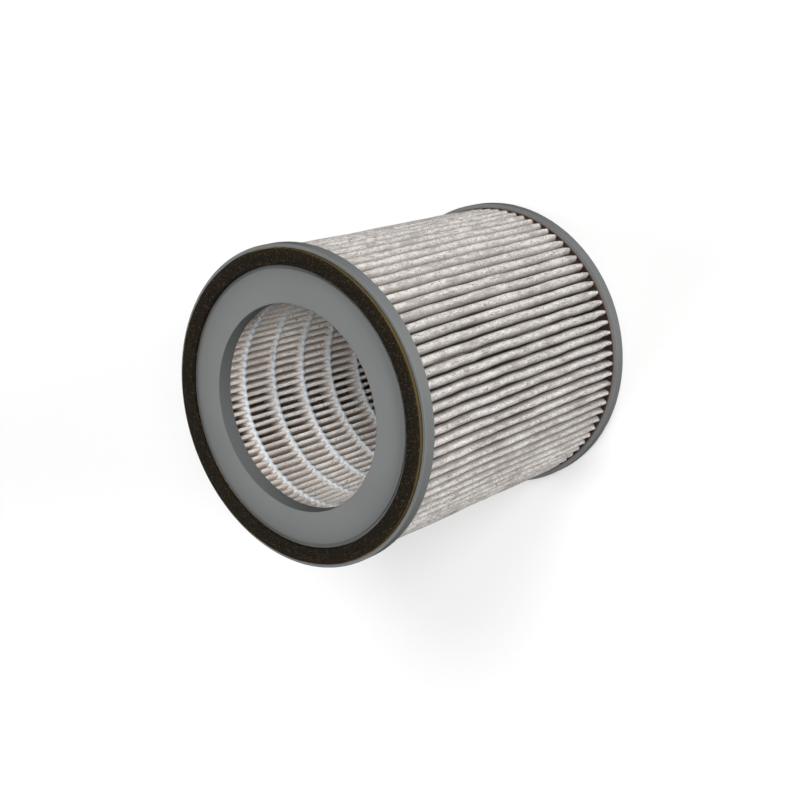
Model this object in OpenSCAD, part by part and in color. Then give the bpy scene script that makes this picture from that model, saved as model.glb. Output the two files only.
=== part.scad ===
// Round air purifier filter: a ring of pleated fleece between two moulded end caps.
// It stands on the rear cap. The front cap is on top, with the opening and the foam gasket.
// Units are mm. Z runs up the filter's axis, and z = 0 is the rear cap's rest face.

/* [Overall size] */
// Outside diameter of both end caps
cap_d = 185; // [170:1:230]
// Length from the rear cap's rest face to the front cap's face
filter_len = 200; // [110:1:320]

/* [End caps] */
// Wall of the outer skirts
skirt_wall = 2.3; // [1.6:0.1:3.2]
// Thickness of the annular plates
plate_t = 2.2; // [1.6:0.1:3.2]
// Wall of the inner collars
collar_wall = 2; // [1.4:0.1:3]
// Diameter of the opening in the front cap
opening_d = 119; // [96:1:128]
// Depth of the front collar, from the face inwards
front_collar_h = 9; // [7.5:0.5:16]
// Width of the front cap's outer skirt
front_skirt_h = 8.4; // [7.4:0.2:16]
// Width of the rear cap's outer skirt
rear_skirt_h = 7; // [6.4:0.2:16]
// Height of the rear cap's inner collar, which carries the closed centre
rear_collar_h = 9; // [7.5:0.5:16]
// Radius on the caps' visible edges
cap_edge_r = 0.4; // [0.2:0.1:1.2]
// How far the front face falls from the opening to the gasket's seat
face_crown = 0.8; // [0:0.1:1.2]

/* [Gasket and its seat] */
// Width of the land outside the seat
rim_land_w = 1.9; // [1.4:0.1:3]
// Depth of the seat below the rim's land
seat_depth = 1.1; // [0.6:0.1:1.6]
// Bare ledge of the seat between the front face and the gasket
seat_ledge_w = 2.2; // [1:0.1:4]
// Width of the foam gasket
gasket_w = 9.3; // [6:0.1:12]
// Thickness of the foam gasket
gasket_t = 2.8; // [2:0.1:6]
// Radius on the foam's top edges
gasket_edge_r = 0.5; // [0.2:0.1:0.9]
// Thickness of the adhesive film under the gasket
film_t = 0.3; // [0.1:0.1:0.5]
// How far the film shows past the gasket on its outer side
film_margin = 0.3; // [0.1:0.1:0.6]
// Clearance between the film and the seat's outer wall
seat_clear = 0.1; // [0.05:0.05:0.3]

/* [Pleated media] */
// Number of pleats round the ring
pleats = 85; // [64:1:94]
// Thickness of the fleece
media_t = 0.8; // [0.6:0.1:1.2]
// Gap between neighbouring outer folds
fold_gap = 0.8; // [0.5:0.1:1.1]
// Height of the outer arches, from the straight legs to the crown at the middle of the fleece
arch_h = 3.6; // [1.5:0.1:4.5]
// Form of the outer arches, from 1, an ellipse, to 2, a parabola
arch_form = 1.5; // [1:0.1:2]
// Length of the pinched ends of the outer folds above the rear potting
pinch_len = 11; // [4:0.5:16]
// Height of the tall arch that a pinched fold has at its end
pinch_h = 8.5; // [5:0.5:10]
// Form of the arch at a pinched end, from 1, an ellipse, to 2, a parabola
pinch_form = 1.8; // [1.2:0.1:2]
// How far a pinched outer fold sinks at its end
pinch_drop = 0.1; // [0:0.1:1.5]
// Segments of an outer arch
arch_steps = 6; // [4:2:6]
// Segments of an inner tip
tip_steps = 3; // [2:1:4]

/* [Separator beads] */
// Distance between neighbouring beads
bead_pitch = 25.4; // [15:0.1:40]
// Width of a bead along the axis
bead_w = 3.2; // [1.5:0.1:5]
// How far a bead stands proud of the inner tips
bead_proud = 0.7; // [0.3:0.1:1]
// How far a bead's inner face sinks between the tips
bead_sag = 0.8; // [0:0.1:1.2]
// How far a bead's webs reach into the slots, from the inner tips
bead_web = 9; // [3:0.5:12]
// Clearance between a bead and the fleece
bead_clear = 0.05; // [0.02:0.01:0.1]

/* [Potting] */
// Gap between the outer folds and the skirts, filled by the potting's outer lip
pack_gap_out = 0.7; // [0.5:0.1:1.5]
// Gap between the inner tips and the collars, filled by the potting's inner lip
pack_gap_in = 1.4; // [0.9:0.1:2.5]
// Thickness of the potting under the ends of the fleece
bed_t = 3; // [1.5:0.1:4]
// Height of the potting's lips above its bed
lip_h = 2.1; // [1:0.1:4]
// Clearance between the potting's lips and the fleece
pot_clear = 0.1; // [0.05:0.05:0.3]

/* [Seam of the fleece] */
// Clearance between the seam bond and the folds that it joins
seam_clear = 0.05; // [0.02:0.01:0.1]
// How far the seam bond stays inside the outer arches
seam_inset = 3; // [1:0.5:8]

/* [Hidden] */
$fn = 180;

// Radii from the outside in
cap_r = cap_d / 2;
skirt_in_r = cap_r - skirt_wall;
pack_r_out = skirt_in_r - pack_gap_out;
opening_r = opening_d / 2;
collar_r = opening_r + collar_wall;
pack_r_in = collar_r + pack_gap_in;

// The gasket's seat
seat_out_r = cap_r - rim_land_w;
gasket_r_out = seat_out_r - seat_clear - film_margin;
gasket_r_in = gasket_r_out - gasket_w;
seat_in_r = gasket_r_in - seat_ledge_w;

// Heights
land_z = filter_len - face_crown;
seat_z = land_z - seat_depth;
front_under_z = seat_z - plate_t;
front_bed_z = front_under_z - bed_t;
rear_bed_z = plate_t + bed_t;
media_len = front_bed_z - rear_bed_z;

// Pleat geometry: the legs run parallel to the line through each valley
pleat_a = 360 / pleats;
leg_off = (fold_gap + media_t) / 2;
tip_c = pack_r_in + media_t / 2 + leg_off;
arch_c = pack_r_out - media_t / 2 - arch_h;

// Beads: centred on the pack's length, as many as fit between the pinched ends
bead_room = media_len - 2 * (pinch_len + bead_w);
bead_n = max(1, floor(bead_room / bead_pitch) + 1);
bead_z0 = rear_bed_z + (media_len - (bead_n - 1) * bead_pitch) / 2;

// Colours
cap_grey = [0.36, 0.37, 0.38];
fleece_grey = [0.79, 0.77, 0.75];
foam_black = [0.13, 0.12, 0.11];
film_brown = [0.62, 0.45, 0.22];
bead_white = [0.80, 0.83, 0.86];
potting_tan = [0.55, 0.42, 0.26];

// A quarter arc of a profile, from angle a0 to a1 about the point c
function arc(c, r, a0, a1, steps = 4) =
    [for (i = [0 : steps]) let (a = a0 + (a1 - a0) * i / steps) c + r * [cos(a), sin(a)]];

// A point given in the frame that is turned by angle a
function turned(p, a) = [p[0] * cos(a) - p[1] * sin(a), p[0] * sin(a) + p[1] * cos(a)];

// Half width of an outer fold at radius r, at the middle of the fleece
function fold_half_w(r) = (r * sin(pleat_a / 2) - leg_off) / cos(pleat_a / 2);

// The fleece's middle line over one pleat: each entry is a point and its normal.
// pinch runs from 0, a full arch, to 1, the tall and narrow arch of a pinched end.
function pleat_line(k, pinch) =
    let (
        h = arch_h + (max(arch_h, pinch_h) - arch_h) * pinch,
        form = arch_form + (pinch_form - arch_form) * pinch,
        c = pack_r_out - media_t / 2 - pinch_drop * pinch - h,
        w = fold_half_w(c)
    )
    concat(
        [for (i = [0 : arch_steps])
            let (
                a = -90 + 180 * i / arch_steps,
                n = [w * pow(cos(a), max(0, 2 - form)), form * h * sin(a)]
            )
            [turned([c + h * pow(cos(a), form), w * sin(a)], k * pleat_a),
                turned(n / norm(n), k * pleat_a)]],
        [for (i = [0 : tip_steps])
            let (a = -90 + 180 * i / tip_steps, v = [cos(a), -sin(a)])
            [turned([tip_c - leg_off * v[0], -leg_off * v[1]], (k + 0.5) * pleat_a),
                turned(v, (k + 0.5) * pleat_a)]]
    );

// The whole ring's line, and the fleece's skin on one side of it
function ring_line(pinch) = [for (k = [0 : pleats - 1]) each pleat_line(k, pinch)];
function skin(pinch, side) = [for (q = ring_line(pinch)) q[0] + side * media_t / 2 * q[1]];
function lifted(points, z) = [for (p = points) [p[0], p[1], z]];

// One solid: the outer and inner skins at three heights, joined by bands of quads
module pleated_media() {
    levels = [[0, 1], [pinch_len, 0], [media_len, 0]];
    n = pleats * (arch_steps + tip_steps + 2);
    points = [for (l = levels) each concat(
        lifted(skin(l[1], 1), rear_bed_z + l[0]),
        lifted(skin(l[1], -1), rear_bed_z + l[0]))];
    top = 2 * n * (len(levels) - 1);
    sides = [for (b = [0 : len(levels) - 2], i = [0 : n - 1])
        let (j = (i + 1) % n, lo = 2 * n * b, hi = lo + 2 * n)
        each [
            [lo + i, hi + i, hi + j], [lo + i, hi + j, lo + j],
            [lo + n + i, hi + n + j, hi + n + i], [lo + n + i, lo + n + j, hi + n + j]
        ]];
    ends = [for (i = [0 : n - 1])
        let (j = (i + 1) % n)
        each [
            [i, j, n + j], [i, n + j, n + i],
            [top + i, top + n + j, top + j], [top + i, top + n + i, top + n + j]
        ]];
    color(fleece_grey) polyhedron(points, concat(sides, ends), convexity = 20);
}

// A bead's inner face: nearest the axis on each tip, and sunk between the tips
function bead_face() =
    [for (k = [0 : pleats - 1], i = [0 : 2])
        let (a = (k + i / 3) * pleat_a, sunk = pow((1 + cos(120 * i)) / 2, 1.5))
        (pack_r_in - bead_proud + bead_sag * sunk) * [cos(a), sin(a)]];

// A bead's outline where it lies on the tips and reaches into the slots
function bead_outline() =
    let (
        r_tip = leg_off + media_t / 2 + bead_clear,
        web_r = pack_r_in + bead_web,
        web_w = fold_half_w(web_r) - media_t / 2 - bead_clear
    )
    [for (k = [0 : pleats - 1]) each concat(
        [turned([web_r, -web_w], k * pleat_a), turned([web_r, web_w], k * pleat_a)],
        [for (i = [0 : tip_steps])
            let (a = -90 + 180 * i / tip_steps)
            turned([tip_c - r_tip * cos(a), r_tip * sin(a)], (k + 0.5) * pleat_a)]
    )];

// Hot-melt rings that hold the pleats apart
module separator_beads() {
    color(bead_white)
    for (i = [0 : bead_n - 1])
        translate([0, 0, bead_z0 + i * bead_pitch - bead_w / 2])
            linear_extrude(bead_w)
                difference() {
                    polygon(bead_outline());
                    polygon(bead_face());
                }
}

// Front cap: skirt, plate with the gasket's seat, and the collar round the opening
module front_end_cap() {
    e = cap_edge_r;
    face_w = seat_in_r - opening_r - e;
    crown = [for (i = [0 : 12])
        [opening_r + e + face_w * i / 12, filter_len - face_crown * pow(i / 12, 3)]];
    color(cap_grey)
    rotate_extrude()
        polygon(concat(
            [[skirt_in_r, filter_len - front_skirt_h], [cap_r - e / 2, filter_len - front_skirt_h],
                [cap_r, filter_len - front_skirt_h + e / 2]],
            arc([cap_r - e, land_z - e], e, 0, 90),
            [[seat_out_r, land_z], [seat_out_r, seat_z], [seat_in_r, seat_z]],
            [for (i = [12 : -1 : 0]) crown[i]],
            arc([opening_r + e, filter_len - e], e, 90, 180),
            [[opening_r, filter_len - front_collar_h], [collar_r, filter_len - front_collar_h],
                [collar_r, front_under_z], [skirt_in_r, front_under_z]]
        ));
}

// Rear cap: the same trough, with its centre closed by a recessed disc
module rear_end_cap() {
    e = cap_edge_r;
    disc_z = rear_collar_h - plate_t;
    color(cap_grey)
    rotate_extrude()
        polygon(concat(
            [[0, disc_z], [opening_r - 1.5 * e, disc_z], [opening_r, disc_z - 1.5 * e]],
            arc([opening_r + e, e], e, 180, 270),
            arc([cap_r - e, e], e, -90, 0),
            [[cap_r, rear_skirt_h - e / 2], [cap_r - e / 2, rear_skirt_h],
                [skirt_in_r, rear_skirt_h], [skirt_in_r, plate_t], [collar_r, plate_t],
                [collar_r, rear_collar_h - e / 2], [collar_r - e / 2, rear_collar_h],
                [0, rear_collar_h]]
        ));
}

// Foam ring that seals against the purifier
module foam_gasket() {
    g = gasket_edge_r;
    z0 = seat_z + film_t;
    z1 = z0 + gasket_t;
    color(foam_black)
    rotate_extrude()
        polygon(concat(
            [[gasket_r_in, z0], [gasket_r_out, z0]],
            arc([gasket_r_out - g, z1 - g], g, 0, 90, 3),
            arc([gasket_r_in + g, z1 - g], g, 90, 180, 3)
        ));
}

// Adhesive film that holds the gasket in its seat
module gasket_film() {
    color(film_brown)
    translate([0, 0, seat_z])
        difference() {
            cylinder(r = gasket_r_out + film_margin, h = film_t);
            translate([0, 0, -1]) cylinder(r = gasket_r_in, h = film_t + 2);
        }
}

// A cast ring of potting: a bed with a lip on each side of the fleece
module potting_ring() {
    lip_out = pack_r_out + pot_clear;
    lip_in = pack_r_in - pot_clear;
    rotate_extrude()
        polygon([[collar_r, 0], [skirt_in_r, 0], [skirt_in_r, bed_t + lip_h],
            [lip_out, bed_t + lip_h], [lip_out, bed_t], [lip_in, bed_t],
            [lip_in, bed_t + lip_h], [collar_r, bed_t + lip_h]]);
}

module rear_potting() {
    color(potting_tan) translate([0, 0, plate_t]) potting_ring();
}

module front_potting() {
    color(potting_tan) translate([0, 0, front_under_z]) mirror([0, 0, 1]) potting_ring();
}

// Strip of hot melt in one valley, where the two ends of the fleece are joined
module seam_bond() {
    r0 = pack_r_in + bead_web;
    r1 = arch_c - seam_inset;
    color(bead_white)
    rotate([0, 0, -pleat_a / 2])
        translate([r0, -fold_gap / 2 + seam_clear, rear_bed_z])
            cube([r1 - r0, fold_gap - 2 * seam_clear, media_len]);
}

front_end_cap();
rear_end_cap();
foam_gasket();
gasket_film();
pleated_media();
separator_beads();
front_potting();
rear_potting();
seam_bond();
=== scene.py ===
import math
import bmesh
import bpy
import numpy as np
from mathutils import Matrix, Vector


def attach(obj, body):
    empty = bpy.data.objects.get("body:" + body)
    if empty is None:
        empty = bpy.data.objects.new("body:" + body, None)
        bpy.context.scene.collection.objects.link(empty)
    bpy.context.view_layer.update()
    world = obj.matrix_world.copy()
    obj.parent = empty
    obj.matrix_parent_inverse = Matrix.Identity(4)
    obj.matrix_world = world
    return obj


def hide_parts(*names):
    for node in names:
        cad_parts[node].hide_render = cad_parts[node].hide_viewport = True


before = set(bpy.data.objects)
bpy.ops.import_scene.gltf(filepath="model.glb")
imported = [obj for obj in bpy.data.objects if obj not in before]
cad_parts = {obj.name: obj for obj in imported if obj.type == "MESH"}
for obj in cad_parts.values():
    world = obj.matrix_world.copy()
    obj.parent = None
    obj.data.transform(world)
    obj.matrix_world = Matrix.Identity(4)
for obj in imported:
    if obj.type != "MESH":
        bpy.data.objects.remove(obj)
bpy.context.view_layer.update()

mm = 0.001  # every dictionary below is in millimetres unless it says otherwise

# The filter's main sizes, the same as the solids have
filterSizes = {
    "capRadius": 92.5, "length": 200.0,
    "packBottom": 5.2, "packTop": 192.9,  # the ends of the fleece
    "tipRadius": 62.9, "foldRadius": 89.5,  # inner tips and outer folds
    "pleats": 85, "phaseDeg": 0.605,  # the first fold's place
    "twistDeg": 1.36, "bendDeg": 0.375,  # the skew of the pack
}


# Mesh tools

def ringIndex(count, closed):
    # Pairs of neighbours 0-1, 1-2 and so on, with the last joined to the first if closed
    here = np.arange(count if closed else count - 1)
    return here, (here + 1) % count


def gridQuads(nu, nv, closeU, closeV, flip=False):
    # Corner numbers of the quads of a grid of nu by nv points
    u0, u1 = ringIndex(nu, closeU)
    v0, v1 = ringIndex(nv, closeV)
    a, b = u0[:, None] * nv, u1[:, None] * nv
    quads = np.stack([a + v0, b + v0, b + v1, a + v1], axis=-1).reshape(-1, 4)
    return quads[:, ::-1] if flip else quads


def meshFromQuads(name, points, quads, material):
    # One object at the origin from points in metres and quads of their numbers
    mesh = bpy.data.meshes.new(name)
    mesh.vertices.add(len(points))
    mesh.vertices.foreach_set("co", np.ascontiguousarray(points, np.float32).ravel())
    mesh.loops.add(quads.size)
    mesh.loops.foreach_set("vertex_index", np.ascontiguousarray(quads, np.int32).ravel())
    mesh.polygons.add(len(quads))
    mesh.polygons.foreach_set("loop_start", np.arange(0, quads.size, 4, dtype=np.int32))
    mesh.polygons.foreach_set("use_smooth", np.ones(len(quads), bool))
    mesh.update(calc_edges=True)
    mesh.validate()
    mesh.materials.append(material)
    piece = bpy.data.objects.new(name, mesh)
    bpy.context.scene.collection.objects.link(piece)
    return piece


def triangles(piece):
    # How many triangles the piece's polygons make
    return len(piece.data.loops) - 2 * len(piece.data.polygons)


def polar(radius, angle, height):
    # A point at that radius and angle about the filter's axis
    return np.stack(np.broadcast_arrays(radius * np.cos(angle), radius * np.sin(angle), height), -1)


def wave(rng, rows, places, lengths, together):
    # Smooth unevenness: each row is a sum of sines along places, with phases of its own
    # that are blended with its neighbours' by the share together. It stays within -1 and 1.
    total = 0
    keep = np.exp(-0.5 * (np.fft.fftfreq(rows)[:, None] * rows / 6) ** 2)  # the slow changes from row to row
    for length in lengths:
        own = rng.normal(size=(rows, 2))
        spread = np.fft.ifft(np.fft.fft(own, axis=0) * keep, axis=0).real
        spread /= spread.std()
        both = (1 - together) * own + together * spread
        turn = 2 * math.pi * places / length
        total = total + both[:, :1] * np.sin(turn) + both[:, 1:] * np.cos(turn)
    return np.tanh(total / math.sqrt(len(lengths)) * 0.7)


# Shader tools

class Wire:
    # A socket whose sums and products add the Math nodes that work them out
    def __init__(self, shader, socket):
        self.shader, self.socket = shader, socket

    def reckon(self, operation, first, second):
        return self.shader.node("Math", {"operation": operation}, {0: first, 1: second})

    def __add__(self, other):
        return self.reckon("ADD", self, other)

    def __radd__(self, other):
        return self.reckon("ADD", other, self)

    def __sub__(self, other):
        return self.reckon("SUBTRACT", self, other)

    def __rsub__(self, other):
        return self.reckon("SUBTRACT", other, self)

    def __mul__(self, other):
        return self.reckon("MULTIPLY", self, other)

    def __rmul__(self, other):
        return self.reckon("MULTIPLY", other, self)


class Shader:
    # One material under construction
    def __init__(self, name):
        self.material = bpy.data.materials.new(name)
        self.material.use_nodes = True
        self.tree = self.material.node_tree
        self.tree.nodes.clear()
        self.place = self.node("TexCoord", output="Object")

    def node(self, kind, settings=None, inputs=None, output=0):
        # Adds a node: its settings first, then the values or wires of its sockets
        made = self.tree.nodes.new("ShaderNode" + kind)
        for key, value in (settings or {}).items():
            setattr(made, key, value)
        for key, value in (inputs or {}).items():
            if isinstance(value, Wire):
                self.tree.links.new(value.socket, made.inputs[key])
            else:
                made.inputs[key].default_value = value
        return Wire(self, made.outputs[output])

    def step(self, value, low, high):
        # 0 below low and 1 above high, smooth between
        return self.node("MapRange", {"interpolation_type": "SMOOTHSTEP"},
                         {"Value": value, "From Min": low, "From Max": high})

    def noise(self, size, detail=2.0, roughness=0.5, stretch=None):
        # Cloudy noise whose lumps are about size millimetres across
        place = self.place
        if stretch:
            place = self.node("Mapping", {}, {"Vector": place, "Scale": stretch})
        return self.node("TexNoise", {}, {"Vector": place, "Scale": 1000 / size, "Detail": detail,
                                          "Roughness": roughness})

    def cells(self, size, output="Distance"):
        # Cells about size millimetres across
        return self.node("TexVoronoi", {}, {"Vector": self.place, "Scale": 1000 / size}, output)

    def blend(self, factor, first, second):
        # Two colours mixed by a factor
        return self.node("Mix", {"data_type": "RGBA"}, {0: factor, 6: first, 7: second}, 2)

    def radius(self):
        # Distance from the filter's axis, in metres
        flat = self.node("VectorMath", {"operation": "MULTIPLY"}, {0: self.place, 1: (1, 1, 0)})
        return self.node("VectorMath", {"operation": "LENGTH"}, {0: flat}, "Value")

    def height(self):
        return self.node("SeparateXYZ", {}, {0: self.place}, "Z")

    def bump(self, height, distance, under=None):
        # distance in millimetres, under is a bump that this one lies on
        inputs = {"Distance": distance * mm, "Height": height}
        if under:
            inputs["Normal"] = under
        return self.node("Bump", {}, inputs)

    def finish(self, **sockets):
        # Ends in one Principled shader; underscores in a name stand for spaces
        inputs = {key.replace("_", " "): value for key, value in sockets.items()}
        made = self.node("BsdfPrincipled", {}, inputs)
        out = self.tree.nodes.new("ShaderNodeOutputMaterial")
        self.tree.links.new(made.socket, out.inputs["Surface"])
        return self.material


def colour(red, green, blue):
    # A colour as a screen shows it, 0 to 255, made linear
    shares = (red / 255, green / 255, blue / 255)
    return tuple(c / 12.92 if c <= 0.04045 else ((c + 0.055) / 1.055) ** 2.4 for c in shares) + (1,)


# Finishes

fleeceLook = {
    "light": (201, 198, 195), "dull": (153, 148, 144),  # outer folds
    "innerLight": (240, 237, 233), "innerDull": (210, 204, 198),  # inner tips
    "innerFrontShade": (178, 168, 161), "frontFrom": 140, "frontTo": 186, "frontShare": 0.7,  # painted shade near the front cap's collar
    "innerTo": 66, "outerFrom": 76,  # radii between the inner and the outer tone
    "cloudSize": 18, "streakSize": 1.4, "fibreSize": 0.7,
    "cloudShare": 0.15, "streakShare": 0.35, "fibreShare": 0.5, "mottleFrom": 0.40, "mottleTo": 0.60,
    "patch": (140, 133, 125), "patchSize": 5.5, "patchFrom": 0.50, "patchTo": 0.68, "patchShare": 0.65,
    "smudge": (124, 114, 107), "smudgeSize": 1.5, "smudgeFrom": 0.56, "smudgeTo": 0.68, "smudgeShare": 0.35,
    "innerMarks": 0.25,  # how much of the patches and smudges shows inside
    "speck": (92, 82, 76), "speckShare": 0.80, "ragged": 0.35,
    "grains": {"size": 2.3, "full": 0.10, "edge": 0.27, "fewFrom": 0.53, "fewTo": 0.57},
    "blots": {"size": 5.5, "full": 0.04, "edge": 0.16, "fewFrom": 0.60, "fewTo": 0.64},
    # flank: painted shade on the folds' flanks
    "flank": (122, 114, 108), "flankLight": 89.1, "flankShade": 87.4, "flankShare": 0.62,
    "shade": (52, 39, 34), "foldLight": 87.9, "foldShade": 84.8,  # painted shade in the lines between outer folds
    "innerShade": (190, 174, 164), "tipLight": 63.4, "tipShade": 66.6,
    "shadeInnerTo": 68, "shadeOuterFrom": 80,
    "bumpDepth": 0.22, "roughness": 0.95, "sheen": 0.03, "sheenRoughness": 0.6, "specular": 0.06,
}


def makeFleece(look, innerSkin):
    # Painted shade darkens the fleece between the folds and in the slots: paler on the skin towards the
    # cavity, dark between the outer folds on the one outside
    s = Shader("innerSkinFleece" if innerSkin else "carbonFleece")
    r = s.radius()
    clouds = s.noise(look["cloudSize"], 2)
    streaks = s.noise(look["streakSize"], 3, 0.65, (1, 1, 0.4))
    fibres = s.noise(look["fibreSize"], 2, 0.7, (1, 1, 0.75))
    mottle = clouds * look["cloudShare"] + streaks * look["streakShare"] + fibres * look["fibreShare"]
    mottle = s.step(mottle, look["mottleFrom"], look["mottleTo"])
    outside = s.blend(mottle, colour(*look["dull"]), colour(*look["light"]))
    inside = s.blend(mottle, colour(*look["innerDull"]), colour(*look["innerLight"]))
    # Painted shade: the inner skin darkens towards the front cap, as the shade of its collar
    front = s.step(s.height(), look["frontFrom"] * mm, look["frontTo"] * mm) * look["frontShare"]
    inside = s.blend(front, inside, colour(*look["innerFrontShade"]))
    outer = s.step(r, look["innerTo"] * mm, look["outerFrom"] * mm)
    base = s.blend(outer, inside, outside)
    # Broad greyish patches, longer along the folds
    patches = s.step(s.noise(look["patchSize"], 3, 0.6, (1, 1, 0.35)), look["patchFrom"], look["patchTo"])
    patches = patches * (look["innerMarks"] + outer * (1 - look["innerMarks"])) * look["patchShare"]
    base = s.blend(patches, base, colour(*look["patch"]))
    # Short dark smudges along the folds
    smudges = s.step(s.noise(look["smudgeSize"], 2, 0.6, (1, 1, 0.2)), look["smudgeFrom"], look["smudgeTo"])
    smudges = smudges * (look["innerMarks"] + outer * look["smudgeShare"])
    base = s.blend(smudges, base, colour(*look["smudge"]))
    # Carbon grains: small cells with ragged edges, only some of them dark
    ragged = (fibres - 0.5) * look["ragged"]

    def spots(kind):
        near = s.cells(kind["size"]) + ragged
        pick = s.node("SeparateColor", {}, {0: s.cells(kind["size"], "Color")})
        return (1 - s.step(near, kind["full"], kind["edge"])) * s.step(pick, kind["fewFrom"], kind["fewTo"])

    dark = spots(look["grains"]) + spots(look["blots"])
    base = s.blend(s.node("Clamp", {}, {0: dark * look["speckShare"]}), base, colour(*look["speck"]))
    # Painted shade: the fold flanks are greyer, and the legs are darker than the tips and folds
    flank = (1 - s.step(r, look["flankShade"] * mm, look["flankLight"] * mm)) * outer * look["flankShare"]
    base = s.blend(flank, base, colour(*look["flank"]))
    deep = s.step(r, look["tipLight"] * mm, look["tipShade"] * mm)
    if innerSkin:
        paintedValleyShade = colour(*look["innerShade"])
    else:
        deep = deep * (1 - s.step(r, look["foldShade"] * mm, look["foldLight"] * mm))
        outwards = s.step(r, look["shadeInnerTo"] * mm, look["shadeOuterFrom"] * mm)
        paintedValleyShade = s.blend(outwards, colour(*look["innerShade"]), colour(*look["shade"]))
    # Painted shade in the valleys and slots
    base = s.blend(deep, base, paintedValleyShade)
    rough = fibres * 0.5 + streaks * 0.5
    return s.finish(Base_Color=base, Roughness=look["roughness"], Normal=s.bump(rough, look["bumpDepth"]),
                    Sheen_Weight=look["sheen"], Sheen_Roughness=look["sheenRoughness"],
                    Specular_IOR_Level=look["specular"])


capLook = {
    "grey": (99, 101, 101), "worn": (102, 104, 104), "cloudSize": 30, "cloudFrom": 0.35, "cloudTo": 0.65,
    "throatShade": (78, 80, 80), "throatRadius": 59.75,  # painted shade on the opening's wall
    # seat: painted shade on the face near the gasket's seat
    "seat": (91, 93, 93), "faceFrom": 61.0, "faceTo": 80.8, "crown": 2.2,
    "edge": 0.1,  # how soft a change of tone at a radius is
    "grain": 0.35, "bumpDepth": 0.012, "specular": 0.1,
    "roughness": 0.6, "cloudShare": 0.10, "grainShare": 0.12,  # and how much clouds and grain change it
}


def makeCapPlastic(look):
    s = Shader("capPlastic")
    r = s.radius()
    clouds = s.noise(look["cloudSize"], 3)
    grain = s.noise(look["grain"], 2)
    worn = s.step(clouds, look["cloudFrom"], look["cloudTo"])
    base = s.blend(worn, colour(*look["grey"]), colour(*look["worn"]))
    # Painted shade: the opening's wall is a darker grey, as the shade inside the opening
    wall, edge = look["throatRadius"], look["edge"]
    throatShade = 1 - s.step(r, (wall - edge) * mm, (wall + edge) * mm)
    base = s.blend(throatShade, base, colour(*look["throatShade"]))
    # The face rounds off towards the gasket's seat as a bump, and painted shade darkens it there, both as the
    # square of the way there
    reach = {"Value": r, "From Min": look["faceFrom"] * mm, "From Max": look["faceTo"] * mm}
    out = s.node("MapRange", {}, reach)
    away = out * out
    onFace = 1 - s.step(r, (look["faceTo"] - edge) * mm, look["faceTo"] * mm)
    base = s.blend(away * onFace, base, colour(*look["seat"]))
    roughness = look["roughness"] + (clouds - 0.5) * look["cloudShare"] + (grain - 0.5) * look["grainShare"]
    rounded = s.bump(1 - away, look["crown"], s.bump(grain, look["bumpDepth"]))
    return s.finish(Base_Color=base, Roughness=roughness, Normal=rounded,
                    Specular_IOR_Level=look["specular"])


foamLook = {
    "dark": (15, 12, 8), "light": (31, 26, 19), "wallFrom": 0.25, "wallTo": 0.75,
    "cell": 0.95, "smallCell": 0.45, "smallShare": 0.3,  # the small cells' size and weight are shares
    "fleck": (84, 76, 62), "fleckShare": 0.8, "fewFrom": 0.62, "fewTo": 0.70,
    "fleckFull": 0.15, "fleckEdge": 0.40,
    "side": (84, 72, 44), "sideShare": 0.85, "sideTop": 200.7, "sideFade": 0.8, "ragged": 0.6,
    "sideFrom": 86, "sideTo": 88, "poreShare": 0.4,
    "bumpDepth": 0.35, "roughness": 0.9, "specular": 0.04,
}


def makeFoam(look):
    s = Shader("gasketFoam")
    cells = s.cells(look["cell"])
    small = s.cells(look["cell"] * look["smallCell"])
    walls = cells * (1 - look["smallShare"]) + small * look["smallShare"]
    walls = s.step(walls, look["wallFrom"], look["wallTo"])
    base = s.blend(walls, colour(*look["dark"]), colour(*look["light"]))
    chosen = s.node("SeparateColor", {}, {0: s.cells(look["cell"], "Color")}, 1)
    few = s.step(chosen, look["fewFrom"], look["fewTo"])
    flecks = few * (1 - s.step(cells, look["fleckFull"], look["fleckEdge"]))
    base = s.blend(flecks * look["fleckShare"], base, colour(*look["fleck"]))
    # The cut outer wall is paler and browner than the skin on top
    ragged = s.height() + small * (look["ragged"] * mm)
    sides = 1 - s.step(ragged, look["sideTop"] * mm, (look["sideTop"] + look["sideFade"]) * mm)
    sides = sides * s.step(s.radius(), look["sideFrom"] * mm, look["sideTo"] * mm)
    base = s.blend(sides * look["sideShare"], base, colour(*look["side"]))
    pores = s.bump(cells + small * look["poreShare"], look["bumpDepth"])
    return s.finish(Base_Color=base, Roughness=look["roughness"], Normal=pores,
                    Specular_IOR_Level=look["specular"])


hotMeltLook = {
    "clear": (198, 204, 209), "milky": (204, 198, 191), "webFootShade": (150, 134, 122),
    "bandRadius": 63.9, "milkyRadius": 65.4, "webShadeRadius": 65.0, "footRadius": 76.0, "waver": 1.2,
    "cloudSize": 5, "lumpSize": 1.2, "bumpDepth": 0.04, "roughness": 0.6, "specular": 0.3,
    "depth": 0.25, "depthScale": 1.5, "depthTint": (0.9, 1.0, 1.1),  # light that passes through it
}


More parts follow.
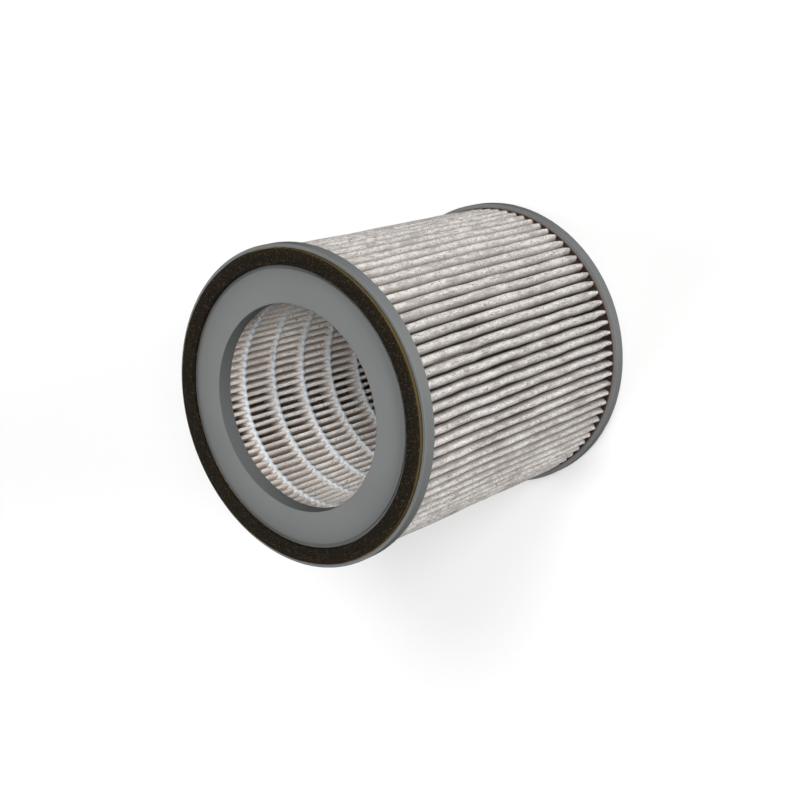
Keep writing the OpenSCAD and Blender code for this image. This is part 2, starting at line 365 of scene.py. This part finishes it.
def makeHotMelt(look):
    s = Shader("hotMelt")
    # The bands are clear and bluish, the webs below them milky, and painted shade darkens the webs towards
    # their feet deep in the slots
    r = s.radius() + (s.noise(look["cloudSize"], 3) - 0.5) * (look["waver"] * mm)
    milky = s.step(r, look["bandRadius"] * mm, look["milkyRadius"] * mm)
    webFootShade = s.step(r, look["webShadeRadius"] * mm, look["footRadius"] * mm)
    base = s.blend(milky, colour(*look["clear"]), colour(*look["milky"]))
    base = s.blend(webFootShade, base, colour(*look["webFootShade"]))
    return s.finish(Base_Color=base, Roughness=look["roughness"],
                    Normal=s.bump(s.noise(look["lumpSize"], 2), look["bumpDepth"]),
                    Subsurface_Weight=look["depth"], Subsurface_Radius=look["depthTint"],
                    Subsurface_Scale=look["depthScale"] * mm, Specular_IOR_Level=look["specular"])


filmLook = {"gold": (150, 116, 66), "brown": (98, 70, 38),
            "cloudSize": 2.5, "cloudFrom": 0.35, "cloudTo": 0.65,
            "lumpSize": 0.8, "bumpDepth": 0.03, "roughness": 0.4}


def makeFilm(look):
    s = Shader("gasketFilm")
    clouds = s.step(s.noise(look["cloudSize"], 3), look["cloudFrom"], look["cloudTo"])
    base = s.blend(clouds, colour(*look["brown"]), colour(*look["gold"]))
    return s.finish(Base_Color=base, Roughness=look["roughness"],
                    Normal=s.bump(s.noise(look["lumpSize"]), look["bumpDepth"]))


pottingLook = {"light": (58, 46, 40), "dark": (40, 32, 29),
               "cloudSize": 4, "cloudFrom": 0.35, "cloudTo": 0.65,
               "lip": (88, 64, 52), "lipRadius": 89.55, "lipFade": 0.2,
               "lumpSize": 1.5, "bumpDepth": 0.15, "roughness": 0.5}


def makePotting(look):
    s = Shader("castPotting")
    # Painted shade: the potting is dark brown, as the shade between the pinched fold ends; its lip at the
    # cap's edge is a lighter reddish brown
    clouds = s.step(s.noise(look["cloudSize"], 3), look["cloudFrom"], look["cloudTo"])
    base = s.blend(clouds, colour(*look["dark"]), colour(*look["light"]))
    lip = s.step(s.radius(), look["lipRadius"] * mm, (look["lipRadius"] + look["lipFade"]) * mm)
    base = s.blend(lip, base, colour(*look["lip"]))
    return s.finish(Base_Color=base, Roughness=look["roughness"],
                    Normal=s.bump(s.noise(look["lumpSize"], 3), look["bumpDepth"]))


fleece = makeFleece(fleeceLook, False)
innerSkinFleece = makeFleece(fleeceLook, True)
capPlastic = makeCapPlastic(capLook)
gasketFoam = makeFoam(foamLook)
hotMelt = makeHotMelt(hotMeltLook)
gasketFilm = makeFilm(filmLook)
potting = makePotting(pottingLook)
print("finishes made")

nodeFinish = {
    "front_end_cap": capPlastic, "rear_end_cap": capPlastic, "gasket_film": gasketFilm,
    "front_potting": potting, "rear_potting": potting, "seam_bond": hotMelt,
    "foam_gasket": gasketFoam, "pleated_media": fleece, "separator_beads": hotMelt,
}
for nodeName, finish in nodeFinish.items():
    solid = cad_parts[nodeName]
    for place in solid.material_slots:
        place.material = finish


# Pleated media

mediaShape = {
    "thickness": 0.8, "foldGap": 0.8,
    "archHeight": 3.6, "archPoint": 1.5,  # 1 is an ellipse, 2 a parabola
    "lean": -0.70,  # how far the folds' crowns lie to one side
    "pinchLength": 13.0, "pinchHeight": 9.6, "pinchPoint": 1.95, "pinchFade": 1.5,
    "archPoints": 11, "tipPoints": 7,
    "lowRows": (0, 1.6, 3.2, 4.8, 6.4, 8.2, 10.2, 12.4), "otherRows": 21,  # heights of the points
    # Unevenness: its size, the lengths of its waves and how much neighbours share
    "sway": (0.30, (21, 37, 62, 110), 0.5), "rise": (0.32, (61, 110), 0.3), "swell": (0.09, (52, 97), 0.2),
    "tipSway": (0.18, (39, 70), 0.5), "tipRise": (0.18, (31, 64), 0.3),
    "settle": 6.0,  # over this much of each end the unevenness fades away
    "seed": 11,
}


def pleatAngle(k, z):
    # Angle of fold k at height z: an even share of the circle, skewed and bent a little along the pack
    sizes = filterSizes
    along = (z - sizes["packBottom"]) / (sizes["packTop"] - sizes["packBottom"])
    skew = sizes["twistDeg"] * (0.5 - along) + sizes["bendDeg"] * 4 * along * (1 - along)
    return np.radians(sizes["phaseDeg"] + k * 360 / sizes["pleats"] + skew)


def makeMedia(shape):
    sizes = filterSizes
    count = sizes["pleats"]
    half = math.pi / count
    t = shape["thickness"]
    off = (shape["foldGap"] + t) / 2  # from a leg's middle to the line through its valley
    tipC = sizes["tipRadius"] + t / 2 + off
    low = np.array(shape["lowRows"])
    others = np.linspace(low[-1], sizes["packTop"] - sizes["packBottom"], shape["otherRows"] + 1)[1:]
    z = sizes["packBottom"] + np.concatenate([low, others])
    rng = np.random.default_rng(shape["seed"])
    k = np.arange(count)[:, None, None]
    zz = z[None, None, :]

    def uneven(name):
        # Unevenness of each fold (pleats by 1 by heights)
        size, lengths, together = shape[name]
        return size * wave(rng, count, z[None, :], lengths, together)[:, None, :]

    sway, rise = uneven("sway"), uneven("rise")
    swell = 1 + uneven("swell")
    tipSway, tipRise = uneven("tipSway"), uneven("tipRise")
    # Pinched ends: over the last stretch the arch grows into a tall, pointed tent
    fromBottom, fromTop = zz - sizes["packBottom"], sizes["packTop"] - zz
    pinch = (1 - np.clip(fromBottom / shape["pinchLength"], 0, 1)) ** shape["pinchFade"]
    ends = np.clip(fromBottom / shape["settle"], 0, 1) * np.clip(fromTop / shape["settle"], 0, 1)
    h = shape["archHeight"] + (shape["pinchHeight"] - shape["archHeight"]) * pinch
    point = shape["archPoint"] + (shape["pinchPoint"] - shape["archPoint"]) * pinch
    c = sizes["foldRadius"] - t / 2 - h
    w = (c * math.sin(half) - off) / math.cos(half) * swell
    # Arch in its fold's frame: out along the radius h cos(a)^point, across it w sin(a) - lean cos(a)^2
    a = np.radians(np.linspace(-90, 90, shape["archPoints"]))[None, :, None]
    cosA = np.clip(np.cos(a), 1e-6, 1)
    lean = shape["lean"] * ends
    archX, archY = c + rise * ends + h * cosA ** point, w * np.sin(a) - lean * cosA ** 2 + sway * ends
    nx, ny = (w + 2 * lean * np.sin(a)) * cosA ** (2 - point), point * h * np.sin(a)
    size = np.hypot(nx, ny)
    archN = nx / size, ny / size
    archTurn = pleatAngle(k, zz)
    # Tip in its valley's frame: half a circle about the valley's line
    b = np.radians(np.linspace(-90, 90, shape["tipPoints"]))[None, :, None]
    tipX, tipY = tipC - off * np.cos(b) + tipRise * ends, off * np.sin(b) + tipSway * ends
    tipN = np.cos(b) + 0 * zz + 0 * k, -np.sin(b) + 0 * zz + 0 * k
    tipTurn = pleatAngle(k + 0.5, zz)

    def turned(px, py, angle):
        return np.stack([px * np.cos(angle) - py * np.sin(angle), px * np.sin(angle) + py * np.cos(angle)], -1)

    arch, archNormal = turned(archX, archY, archTurn), turned(*archN, archTurn)
    tip, tipNormal = turned(tipX, tipY, tipTurn), turned(*tipN, tipTurn)

    def between(first, second):
        return (first + second) / 2

    nextArch, nextNormal = np.roll(arch, -1, axis=0), np.roll(archNormal, -1, axis=0)
    line = np.concatenate([arch, between(arch[:, -1:], tip[:, :1]), tip,
                           between(tip[:, -1:], nextArch[:, :1])], axis=1)
    leg, nextLeg = between(archNormal[:, -1:], tipNormal[:, :1]), between(tipNormal[:, -1:], nextNormal[:, :1])
    normal = np.concatenate([archNormal, leg, tipNormal, nextLeg], axis=1)
    normal /= np.linalg.norm(normal, axis=-1, keepdims=True)
    around = line.shape[0] * line.shape[1]
    line, normal = line.reshape(around, len(z), 2), normal.reshape(around, len(z), 2)
    # The strip's closed section: up its outer skin, back down its inner skin
    height = np.broadcast_to(z[None, :, None], (around, len(z), 1))
    outer = np.concatenate([line + normal * t / 2, height], -1)
    inner = np.concatenate([line - normal * t / 2, height], -1)
    section = np.concatenate([outer, inner[:, ::-1]], axis=1)
    quads = gridQuads(around, section.shape[1], True, True)
    piece = meshFromQuads("pleatedStrip", section.reshape(-1, 3) * mm, quads, fleece)
    piece.data.materials.append(innerSkinFleece)
    skin = np.arange(section.shape[1]) >= len(z)
    piece.data.polygons.foreach_set("material_index", np.tile(skin, around).astype(np.int32))
    return piece


media = makeMedia(mediaShape)
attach(media, "root")
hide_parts("pleated_media")
print("pleated strip made,", triangles(media), "triangles")


# Separator beads

beadShape = {
    "first": 22.85, "pitch": 25.4, "count": 7,  # heights of the rings
    "width": 3.5, "slotWidth": 0.88, "thick": 0.62, "tipThick": 0.10,  # a band, and its share over the slots
    "seat": 0.35, "proud": 0.50, "over": 0.2, "sag": 0.85, "sagPoint": 1.5,
    "lump": 0.10, "drift": 0.12, "widen": 0.04, "waves": (1.7, 3.1, 7.0),  # unevenness, its waves in pleats
    "web": 12.0, "webStart": 1.2, "webRough": 0.12, "webTop": 0.80, "webFoot": 1.8,
    "overlap": 0.06, "swell": 0.9,
    "depths": (0.0, 0.0, 0.08, 0.17, 0.28, 0.4, 0.6, 0.85, 1.0, 1.0),  # places of the web's sections
    "crown": 1.12, "lastShrink": 0.85,  # a section's rounding, and the size of the last open one
    "samples": 8, "section": 12, "seed": 5,
}


def makeBeads(shape):
    sizes = filterSizes
    count = sizes["pleats"]
    half = math.pi / count
    off = (mediaShape["foldGap"] + mediaShape["thickness"]) / 2
    rng = np.random.default_rng(shape["seed"])
    points, quads, base = [], [], 0
    z0 = shape["first"] + shape["pitch"] * np.arange(shape["count"])
    # Bands: an ellipse carried round the tips, which sinks outwards over each slot by sag (1 - over)^1.5
    n = count * shape["samples"]
    s = np.arange(n) / shape["samples"]
    over = 0.5 - 0.5 * np.cos(2 * math.pi * s)  # 0 in a slot, 1 on a tip
    lump = wave(rng, shape["count"] * 2, s[None, :], shape["waves"], 0.0)
    turn = np.radians(np.linspace(0, 360, shape["section"], endpoint=False))
    for i, z in enumerate(z0):
        centre = sizes["tipRadius"] + shape["seat"] - (shape["proud"] - shape["over"]) * over
        centre = centre + shape["sag"] * (1 - over) ** shape["sagPoint"] + shape["lump"] * lump[2 * i]
        share = shape["slotWidth"] + (1 - shape["slotWidth"]) * over + shape["widen"] * lump[2 * i + 1]
        wide = shape["width"] / 2 * share
        thick = shape["thick"] + shape["tipThick"] * over
        r = centre[:, None] + thick[:, None] * np.cos(turn)
        zz = z + shape["drift"] * lump[2 * i][:, None] + wide[:, None] * np.sin(turn)
        angle = pleatAngle(s[:, None], zz)
        points.append(polar(r, angle, zz).reshape(-1, 3))
        quads.append(gridQuads(n, len(turn), True, True) + base)
        base += n * len(turn)
    # Webs: a plate in each slot, as wide as the slot and thinner towards its foot
    depth = np.array(shape["depths"])
    shrink = np.ones(len(depth))
    shrink[[0, -2, -1]] = 0.0, shape["lastShrink"], 0.0  # closed in a point at both ends
    crown = shape["crown"]
    square = np.array([[-1, -1], [0, -crown], [1, -1], [1, 0], [1, 1], [0, crown], [-1, 1], [-1, 0]], float)
    k, d, q = np.meshgrid(np.arange(count), np.arange(len(depth)), np.arange(len(square)), indexing="ij")
    foot = shape["webFoot"] / shape["width"]
    for z in z0:
        reach = shape["web"] * (1 + shape["webRough"] * rng.normal(size=(count, 1, 1)).clip(-2, 2))
        r = sizes["tipRadius"] + shape["webStart"] + (reach - shape["webStart"]) * depth[d]
        slot = (r * math.sin(half) - off) / math.cos(half) - mediaShape["thickness"] / 2 + shape["overlap"]
        zHalf = shape["width"] / 2 * (shape["webTop"] + (foot - shape["webTop"]) * depth[d])
        # The melt clings to the slot's sides and swells a little below the band
        zHalf = zHalf + shape["swell"] * np.sin(math.pi * np.minimum(1, depth[d] * 1.1) ** 0.55) ** 1.5
        y = slot * square[q, 0] * shrink[d]
        zz = z + zHalf * square[q, 1] * shrink[d]
        angle = pleatAngle(k, zz) + np.arctan2(y, r)
        points.append(polar(r, angle, zz).reshape(-1, 3))
        cell = gridQuads(len(depth), len(square), False, True, True)
        each = np.arange(count)[:, None, None] * len(depth) * len(square) + cell[None]
        quads.append(each.reshape(-1, 4) + base)
        base += count * len(depth) * len(square)
    piece = meshFromQuads("hotMeltBeads", np.concatenate(points) * mm, np.concatenate(quads), hotMelt)
    # The points that meet at each web's two ends become one
    work = bmesh.new()
    work.from_mesh(piece.data)
    bmesh.ops.remove_doubles(work, verts=work.verts, dist=1e-7)
    work.to_mesh(piece.data)
    work.free()
    return piece


beads = makeBeads(beadShape)
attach(beads, "root")
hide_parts("separator_beads")
print("separator beads made,", triangles(beads), "triangles")


# Foam gasket

gasketShape = {"inner": 80.8, "outer": 90.1, "bottom": 198.4, "top": 201.2, "edge": 0.7, "skirt": 1.0,
               "around": 900, "cornerPoints": 5, "topPoints": 16, "seed": 3,
               "pits": 0.10, "waver": 0.12, "wavesDeg": (23, 60, 120), "sideWaver": 0.7}


def makeGasket(shape):
    # A closed section with rounded corners carried round the axis, with pits pressed into it.
    # A corner is e cos(t), e sin(t) round a point e in from both sides, and both walls waver by sines.
    e = shape["edge"]
    steps = np.radians(np.linspace(0, 90, shape["cornerPoints"]))
    lo, hi = shape["inner"], shape["outer"]
    middle, bottom = (lo + hi) / 2, shape["bottom"]
    outerCorner = np.stack([hi - e + e * np.cos(steps), shape["top"] - e + e * np.sin(steps)], -1)
    innerCorner = np.stack([lo + e - e * np.sin(steps), shape["top"] - e + e * np.cos(steps)], -1)
    top = np.linspace(hi - e, lo + e, shape["topPoints"])[1:-1]
    section = np.concatenate([
        [[middle, bottom], [hi, bottom], [hi, bottom + shape["skirt"]]], outerCorner,
        np.stack([top, np.full(len(top), shape["top"])], -1), innerCorner,
        [[lo, bottom + shape["skirt"]], [lo, bottom]]])
    inward = np.array([middle, (bottom + shape["top"]) / 2]) - section
    inward /= np.linalg.norm(inward, axis=1, keepdims=True)
    rng = np.random.default_rng(shape["seed"])
    angle = np.linspace(0, 2 * math.pi, shape["around"], endpoint=False)
    pits = np.abs(rng.normal(size=(shape["around"], len(section)))) * shape["pits"]
    pits[:, section[:, 1] < bottom + 0.5] = 0  # its foot stays even
    degrees = angle[None, :] * 57.3
    waver = shape["waver"] * shape["sideWaver"] * wave(rng, 2, degrees, shape["wavesDeg"], 0)
    grid = section[None] + inward[None] * pits[..., None]
    grid[..., 0] += np.where(section[:, 0] > middle + 0.1, waver[0][:, None], waver[1][:, None])
    points = polar(grid[..., 0], angle[:, None], grid[..., 1])
    quads = gridQuads(shape["around"], len(section), True, True)
    return meshFromQuads("foamRing", points.reshape(-1, 3) * mm, quads, gasketFoam)


gasket = makeGasket(gasketShape)
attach(gasket, "root")
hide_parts("foam_gasket")
print("foam gasket made,", triangles(gasket), "triangles")


# Floor, camera and light

sweepShape = {"reach": 4.5, "bend": 1.5, "wall": 4.0,  # metres
              "albedo": 0.77, "whiteFrom": 0.9, "whiteBy": 2.2}


def makeSweep(shape):
    # A flat round floor that bends up into a wall, a profile turned about the filter's axis.
    # Far from the filter it glows white, so its edge never shows.
    s = Shader("paleSweep")
    away = s.node("VectorMath", {"operation": "LENGTH"}, {0: s.place}, "Value")
    far = s.step(away, shape["whiteFrom"], shape["whiteBy"])
    glow = s.blend(far, (0, 0, 0, 1), (1, 1, 1, 1))
    albedo = shape["albedo"]
    material = s.finish(Base_Color=(albedo, albedo, albedo, 1), Roughness=0.8, Specular_IOR_Level=0.1,
                        Emission_Color=glow, Emission_Strength=1.0)
    bend = np.radians(np.linspace(0, 90, 9))
    r = np.concatenate([[0.001, 0.5, 1.5, 3.0], shape["reach"] + shape["bend"] * np.sin(bend),
                        [shape["reach"] + shape["bend"]]])
    z = np.concatenate([[0, 0, 0, 0], shape["bend"] * (1 - np.cos(bend)), [shape["wall"]]])
    angle = np.linspace(0, 2 * math.pi, 96, endpoint=False)
    points = polar(r[None, :], angle[:, None], z[None, :]).reshape(-1, 3)
    return meshFromQuads("studioSweep", points, gridQuads(96, len(r), True, False), material)


sweep = makeSweep(sweepShape)
sweep.visible_diffuse = sweep.visible_glossy = False  # it throws no light back on the filter

# The photograph's view, in cap radii from the middle of the front face
viewShape = {"from": (-6.053, -1.379, 6.047), "right": (-0.76511, 0.13773, -0.62899),
             "up": (0.0, -0.97685, -0.21391), "back": (-0.64390, -0.16366, 0.74740), "focal": 64.545}


def makeCamera(shape):
    data = bpy.data.cameras.new("studioCamera")
    data.sensor_width, data.lens = 36.0, shape["focal"]
    data.clip_start, data.clip_end = 0.01, 50
    camera = bpy.data.objects.new("studioCamera", data)
    bpy.context.scene.collection.objects.link(camera)
    reach = filterSizes["capRadius"] * mm
    place = Vector(shape["from"]) * reach + Vector((0, 0, filterSizes["length"] * mm))
    turn = Matrix([shape["right"], shape["up"], shape["back"]]).transposed().to_4x4()
    camera.matrix_world = Matrix.Translation(place) @ turn
    bpy.context.scene.camera = camera
    return camera


makeCamera(viewShape)

lightShape = {
    "world": 0.09,
    "lamps": {  # direction it comes from, distance and size in metres, strength on a facing white card
        "key": ((-0.62, -0.18, 0.75), 4.0, 2.0, 0.80),
        "top": ((-0.30, -0.60, 0.73), 4.0, 2.0, 0.48),
        "side": ((0.87, -0.05, 0.48), 4.0, 2.0, 0.42),
        "back": ((0.69, 0.54, 0.48), 4.0, 2.0, 0.33),
        "low": ((-0.97, -0.14, 0.18), 4.0, 1.2, 0.86),
    },
}


def makeLights(shape):
    world = bpy.data.worlds.new("studioWorld")
    world.use_nodes = True
    world.node_tree.nodes["Background"].inputs["Color"].default_value = (1, 1, 1, 1)
    world.node_tree.nodes["Background"].inputs["Strength"].default_value = shape["world"]
    bpy.context.scene.world = world
    middle = Vector((0, 0, filterSizes["length"] * mm / 2))
    for name, (source, distance, size, strength) in shape["lamps"].items():
        data = bpy.data.lights.new(name, "AREA")
        data.shape, data.size = "DISK", size
        data.energy = strength * (math.pi * distance) ** 2
        lamp = bpy.data.objects.new(name, data)
        bpy.context.scene.collection.objects.link(lamp)
        lamp.location = middle + Vector(source).normalized() * distance
        lamp.rotation_euler = Vector(source).to_track_quat("Z", "Y").to_euler()


makeLights(lightShape)
bpy.context.scene.view_settings.view_transform = "Standard"
print("floor, camera and light made")
